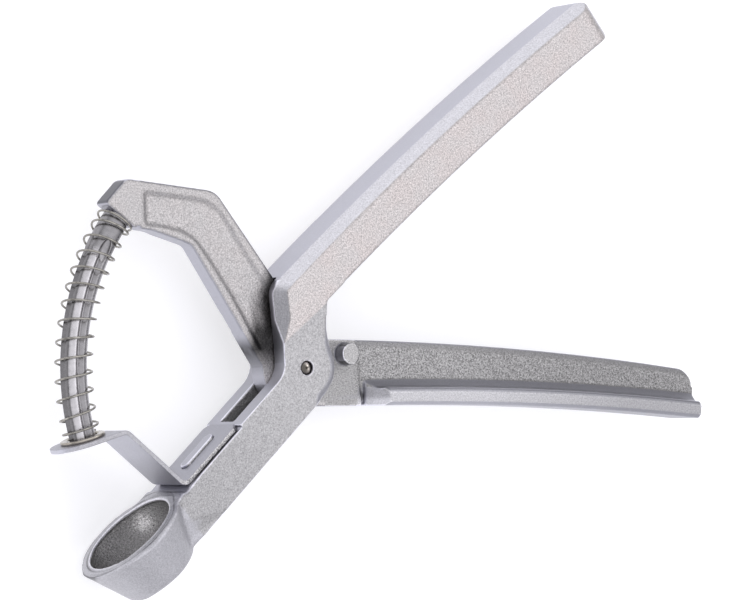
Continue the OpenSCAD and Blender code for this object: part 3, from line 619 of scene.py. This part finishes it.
def plate_finish(point, normal):
    """The tone, grain, warmth and edge highlight weight of a place on the plate."""
    sheared = ramp(abs(normal.z), 0.6, 0.9)
    on_tab = ramp(Vector(point).dot(ARM_UP), 4.8, 3.8)
    # The strut is painted lighter towards its top, as the light falls on it
    strut = ramp(normal.dot(ARM), 0.5, 0.8) * ramp(Vector(point).dot(ARM_UP), 6, 14)
    return (0.46 + 0.18 * strut + (0.14 * on_tab - 0.03) * sheared,
            0.15 + (0.4 + 1.3 * on_tab) * sheared, 0, 0.5)


plate = tumbled("stripper_plate_sheet", casting("stripper_plate"), plate_finish, cell=0.14,
                rounds=4, faces=40000)
plate.data.materials.append(cast)
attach(plate, "cup_lever_body")
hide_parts("stripper_plate")

# ---- Punch rod ----
# A steel rod bent to the arc that it travels on: a round collar under the arm, then four V
# flutes that cut the fruit open. It is nickel plated.

# Nickel plating: smooth and greyer than cast metal, worn in blotches of 0.9 mm
plated = new_material("nickel_plated_steel")
spot = node(plated, "TexCoord").outputs["Object"]
tone, edge = (node(plated, "Attribute", attribute_name=name).outputs["Fac"]
              for name in ("tone", "edge"))
wear = node(plated, "TexNoise", {"Vector": spot, "Scale": 1 / 0.0009,
                                 "Detail": 3.0}).outputs["Fac"]
mottled = node(plated, "MapRange", {"Value": wear, "From Min": 0.3, "From Max": 0.7,
                                    "To Min": 0.88, "To Max": 1.12}).outputs["Result"]
# Edges that stand out are painted brighter: partly rubbed plating, partly a painted highlight
painted_highlight = node(plated, "MapRange", {"Value": edge, "From Min": 0.01, "From Max": 0.05,
                                   "To Min": 1.0, "To Max": 1.8}).outputs["Result"]
light_tone = node(plated, "Math", {0: tone, 1: mottled}, operation="MULTIPLY").outputs[0]
light_tone = node(plated, "Math", {0: light_tone, 1: painted_highlight}, operation="MULTIPLY",
                  use_clamp=True).outputs[0]
paint = node(plated, "Mix", {"Factor": 1.0, "A": colour("#fbf8fa"), "B": light_tone},
             data_type="RGBA", blend_type="MULTIPLY").outputs["Result"]
gloss = node(plated, "MapRange", {"Value": wear, "From Min": 0.3, "From Max": 0.7,
                                  "To Min": 0.2, "To Max": 0.34}).outputs["Result"]
shade(plated, node(plated, "BsdfPrincipled", {
    "Base Color": paint, "Metallic": 1.0, "Roughness": gloss}))

# Turns round the pin where the rod leaves the head, where its 9 mm collar ends, and where it
# meets the plate
HEAD, COLLAR_END, PAD = 144, 144 + math.degrees(9 / TRAVEL), 197
# Each flute runs out in a round end below the collar, as its cutter leaves it
runouts = []
for quarter in range(4):
    turn = math.radians(90 * quarter)
    across = math.cos(turn) * polar(1, COLLAR_END) + math.sin(turn) * Vector((0, 0, 1))
    ball = bmesh.new()
    bmesh.ops.create_icosphere(ball, subdivisions=4, radius=1)
    bmesh.ops.scale(ball, vec=(1.15, 1.25, 3.2), verts=ball.verts)
    ball.transform(facing(polar(TRAVEL, COLLAR_END) + 2.95 * across,
                          polar(1, COLLAR_END + 90), across))
    runouts.append(("DIFFERENCE", ball))


def rod_finish(point, normal):
    """Painted light on the rod: highlight lines along one side of each rib, the flutes and the
    side away from the pin painted dark as shade, and the collar an even dark grey.
    """
    turn = math.degrees(math.atan2(point.z, math.hypot(point.x, point.y) - TRAVEL))
    flute = (turn + 14) % 90
    collar = ramp(Vector(point).dot(polar(1, HEAD + 9.5 + 90)), 1, -1)
    if -38 < turn < 37:
        # The side away from the pin, painted dark as shade
        tone = 0.2
    elif flute < 10:
        tone = 0.14
    elif flute < 50:
        tone = 0.36
    else:
        tone = 0.5 + 0.25 * math.exp(-((flute - 54) / 3) ** 2) \
            + 0.2 * math.exp(-((flute - 84) / 4) ** 2)
    return tone + (0.27 - tone) * collar, 0, 0, 1


rod = tumbled("punch_rod_steel", worked(casting("punch_rod"), *runouts), rod_finish, cell=0.1,
              rounds=4, faces=45000)
rod.data.materials.append(plated)
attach(rod, "punch_lever_body")
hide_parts("punch_rod")

# ---- Spring seat ----
# A thin ring that lies on the plate, slides on the rod and carries the spring's lower end. It is
# turned from steel bar, with its edges just broken.

# Turned steel: a warm grey that mirrors the room almost clearly
bright = new_material("bright_turned_steel")
shade(bright, node(bright, "BsdfPrincipled", {
    "Base Color": colour("#a6a096"), "Metallic": 1.0, "Roughness": 0.18}))
seat_place = facing(polar(TRAVEL, PAD), polar(1, PAD + 90))
seat = solid("spring_seat_ring", lathe(
    [(3.3, -0.62), (3.4, -0.72), (4.8, -0.72), (4.95, -0.66), (5, -0.55), (5, -0.15),
     (4.93, -0.05), (4.8, -0.02), (3.4, -0.02), (3.3, -0.12)], seat_place), bright)
seat.data.transform(TO_FRAME)
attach(seat, "cup_lever_body")
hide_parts("spring_seat")

# ---- Pivot pin ----
# A plain turned pin, pressed into both cheeks. Its ends are chamfered and faced on the lathe,
# with the shallow centre that the tool leaves.

# Radius and height of its upper half, from the middle of the end to the side
half = [(0, 7.05), (0.15, 7.1), (0.3, 7.38), (0.42, 7.5), (0.6, 7.45), (1.3, 6.98), (1.43, 6.8),
        (1.46, 6.3), (1.6, 6.0)]
# Faced steel. A highlight is painted along one line across each end, where its fine tool rings
# would shine, and the rest of the end is painted dark
turned = new_material("faced_steel")
painted_sheen = node(turned, "Attribute", attribute_name="tone").outputs["Fac"]
paint = node(turned, "Mix", {"Factor": 1.0, "A": colour("#ece3d8"), "B": painted_sheen}, data_type="RGBA",
             blend_type="MULTIPLY").outputs["Result"]
shade(turned, node(turned, "BsdfPrincipled", {
    "Base Color": paint, "Metallic": 1.0, "Roughness": 0.2}))
pin = solid("pivot_pin_turned", lathe(half + [(r, -h) for r, h in reversed(half)],
                                      Matrix.Identity(4)), turned)
# Painted highlight across each end, and painted near-black shade at its centre and chamfer
tones = []
for vertex in pin.data.vertices:
    out = math.hypot(vertex.co.x, vertex.co.y)
    turn = math.degrees(math.atan2(vertex.co.y, vertex.co.x))
    shine = math.exp(-((turn - 80) / 30) ** 2) + 0.6 * math.exp(-((turn + 35) / 45) ** 2)
    tones.append(0.12 + 0.85 * shine if 0.2 <= out <= 1.35 else 0.06)
mark(pin.data, "tone", tones)
pin.data.transform(TO_FRAME)
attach(pin, "cup_lever_body")
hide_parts("pivot_pin")

# ---- Return spring ----
# An open coil of 0.5 mm bright spring wire round the rod. Its end turns are closed up, and the
# upper end of the wire stands out a little. It opens the levers again after each squeeze.

# Drawn spring wire: bright, with darker drawing marks 1 mm long
wire = new_material("bright_spring_wire")
spot = node(wire, "TexCoord").outputs["Object"]
drawn = node(wire, "TexNoise", {"Vector": spot, "Scale": 1 / 0.001, "Detail": 2.0}).outputs["Fac"]
shine = node(wire, "Mix", {"Factor": drawn, "A": colour("#54524d"), "B": colour("#bebab2")},
             data_type="RGBA").outputs["Result"]
shade(wire, node(wire, "BsdfPrincipled", {
    "Base Color": shine, "Metallic": 1.0, "Roughness": 0.2}))

# The coil opens a little wider towards the plate: pairs of turns and pitch, from the head on
PITCHES = ((1, 1.1), (5.5, 3.6), (6.5, 4.05), (1, 2.03))
WIRE_R, COIL_R, TURNS, STEPS = 0.25, 4, 14, 32


def coil_point(turn):
    """The middle of the wire after a number of turns, counted from the head."""
    angle, height = math.radians(360 * (turn - 0.53)), 0.45
    for turns, pitch in PITCHES:
        height += pitch * min(turns, max(0, turn))
        turn -= turns
    return polar(TRAVEL + COIL_R * math.cos(angle), HEAD + math.degrees(height / TRAVEL),
                 -COIL_R * math.sin(angle))


path = [coil_point(step / STEPS) for step in range(1, TURNS * STEPS + 1)]
curve = bpy.data.curves.new("coil", "CURVE")
curve.dimensions, curve.bevel_depth, curve.bevel_resolution = "3D", WIRE_R, 3
curve.use_fill_caps = True
line = curve.splines.new("POLY")
line.points.add(len(path) - 1)
for point, place in zip(line.points, path):
    point.co = (*place, 1)
coil = bpy.data.objects.new("coil", curve)
bpy.context.scene.collection.objects.link(coil)
bm = bmesh.new()
bm.from_mesh(evaluated(coil))
bm.transform(TO_FRAME)
bpy.data.objects.remove(coil)
spring = solid("return_spring_wire", bm, wire)
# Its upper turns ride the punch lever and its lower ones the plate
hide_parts("return_spring")
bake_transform(spring)
